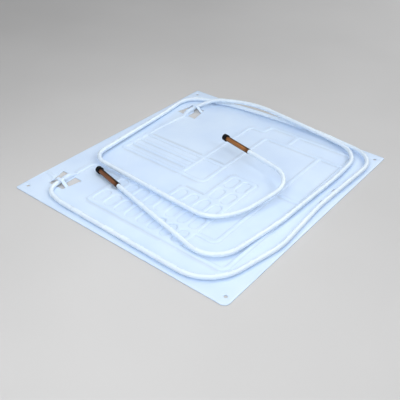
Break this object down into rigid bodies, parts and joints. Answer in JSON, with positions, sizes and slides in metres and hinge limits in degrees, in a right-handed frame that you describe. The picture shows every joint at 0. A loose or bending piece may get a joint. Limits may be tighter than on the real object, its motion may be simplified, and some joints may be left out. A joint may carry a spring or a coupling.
{
  "type": "evaporator plate",
  "caption": "Flat roll-bond evaporator plate with raised refrigerant channels, a cell grid and two bent pipes ending in capped copper stubs.",
  "frame": {"origin": "middle of the four corner holes, on the plate's flat underside", "axes": "+Z out of the face with the raised channels and pipes; +Y along the plate's longer side, towards the back window; +X along the shorter side, towards the cell grid"},
  "size_m": [0.45, 0.5, 0.033],
  "materials": {
    "white_coat": "thin smooth white lacquer on aluminium, satin",
    "copper": "dull drawn copper tube",
    "cap_rubber": "moulded black, low sheen"
  },
  "bodies": {
    "root": {"panel": "white_coat", "outer_pipe": "white_coat", "inner_pipe": "white_coat", "outer_stub": "copper", "inner_stub": "copper", "outer_cap": "cap_rubber", "inner_cap": "cap_rubber"}
  },
  "joints": []
}
